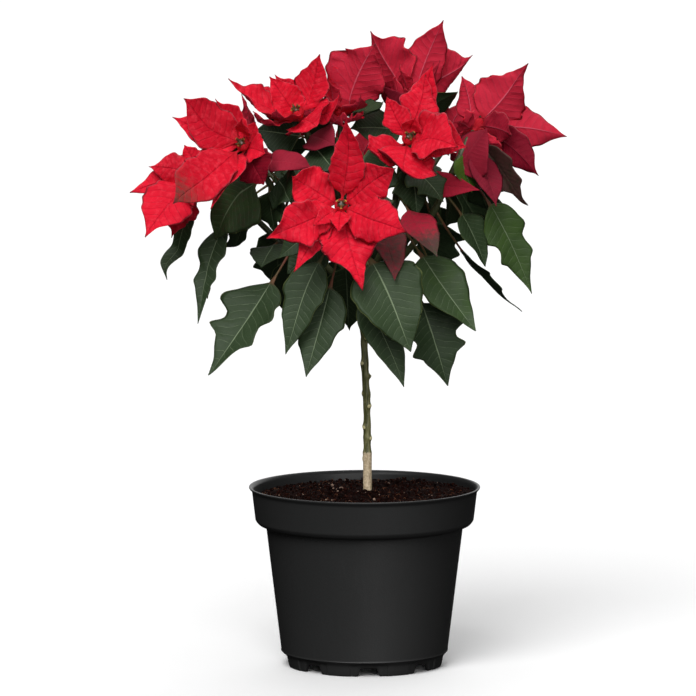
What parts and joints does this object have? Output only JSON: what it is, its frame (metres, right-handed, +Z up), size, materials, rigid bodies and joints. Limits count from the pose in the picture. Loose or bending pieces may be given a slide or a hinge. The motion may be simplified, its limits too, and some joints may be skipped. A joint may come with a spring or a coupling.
{
  "type": "potted poinsettia",
  "caption": "Poinsettia grown as a small standard: a bare stem from a round nursery pot to a loose round crown of lobed leaves under whorls of pointed bracts.",
  "frame": {"origin": "the middle of the plant's spread, on the surface that the pot stands on; the pot's own axis stands beside it", "axes": "+Z up; the side with the lowest bloom faces -Y"},
  "size_m": [0.357, 0.2986, 0.5284],
  "materials": {
    "pot": "satin black injection-moulded plastic",
    "soil": "rough, moist dark peat with pale fibres",
    "bark": "matt greenish brown, pale tan at the foot",
    "leaf": "soft satin dark green with paler veins",
    "bract": "velvety bright red",
    "flower": "matt yellow green"
  },
  "bodies": {
    "root": {"pot": "pot", "soil": "soil", "trunk": "bark", "branch_front": "leaf", "bloom_front": "bract", "cyathia_front": "flower", "branch_right_front": "leaf", "bloom_right_front": "bract", "cyathia_right_front": "flower", "branch_left": "leaf", "bloom_left": "bract", "cyathia_left": "flower", "branch_far_left": "leaf", "bloom_far_left": "bract", "cyathia_far_left": "flower", "branch_upper_left": "leaf", "bloom_upper_left": "bract", "cyathia_upper_left": "flower", "branch_middle": "leaf", "bloom_middle": "bract", "cyathia_middle": "flower", "branch_top": "leaf", "bloom_top": "bract", "cyathia_top": "flower", "branch_right": "leaf", "bloom_right": "bract", "cyathia_right": "flower", "branch_upper_back": "leaf", "bloom_upper_back": "bract", "cyathia_upper_back": "flower", "branch_back": "leaf", "bloom_back": "bract", "cyathia_back": "flower", "branch_back_left": "leaf", "bloom_back_left": "bract", "cyathia_back_left": "flower", "branch_back_right": "leaf", "bloom_back_right": "bract", "cyathia_back_right": "flower"}
  },
  "joints": []
}
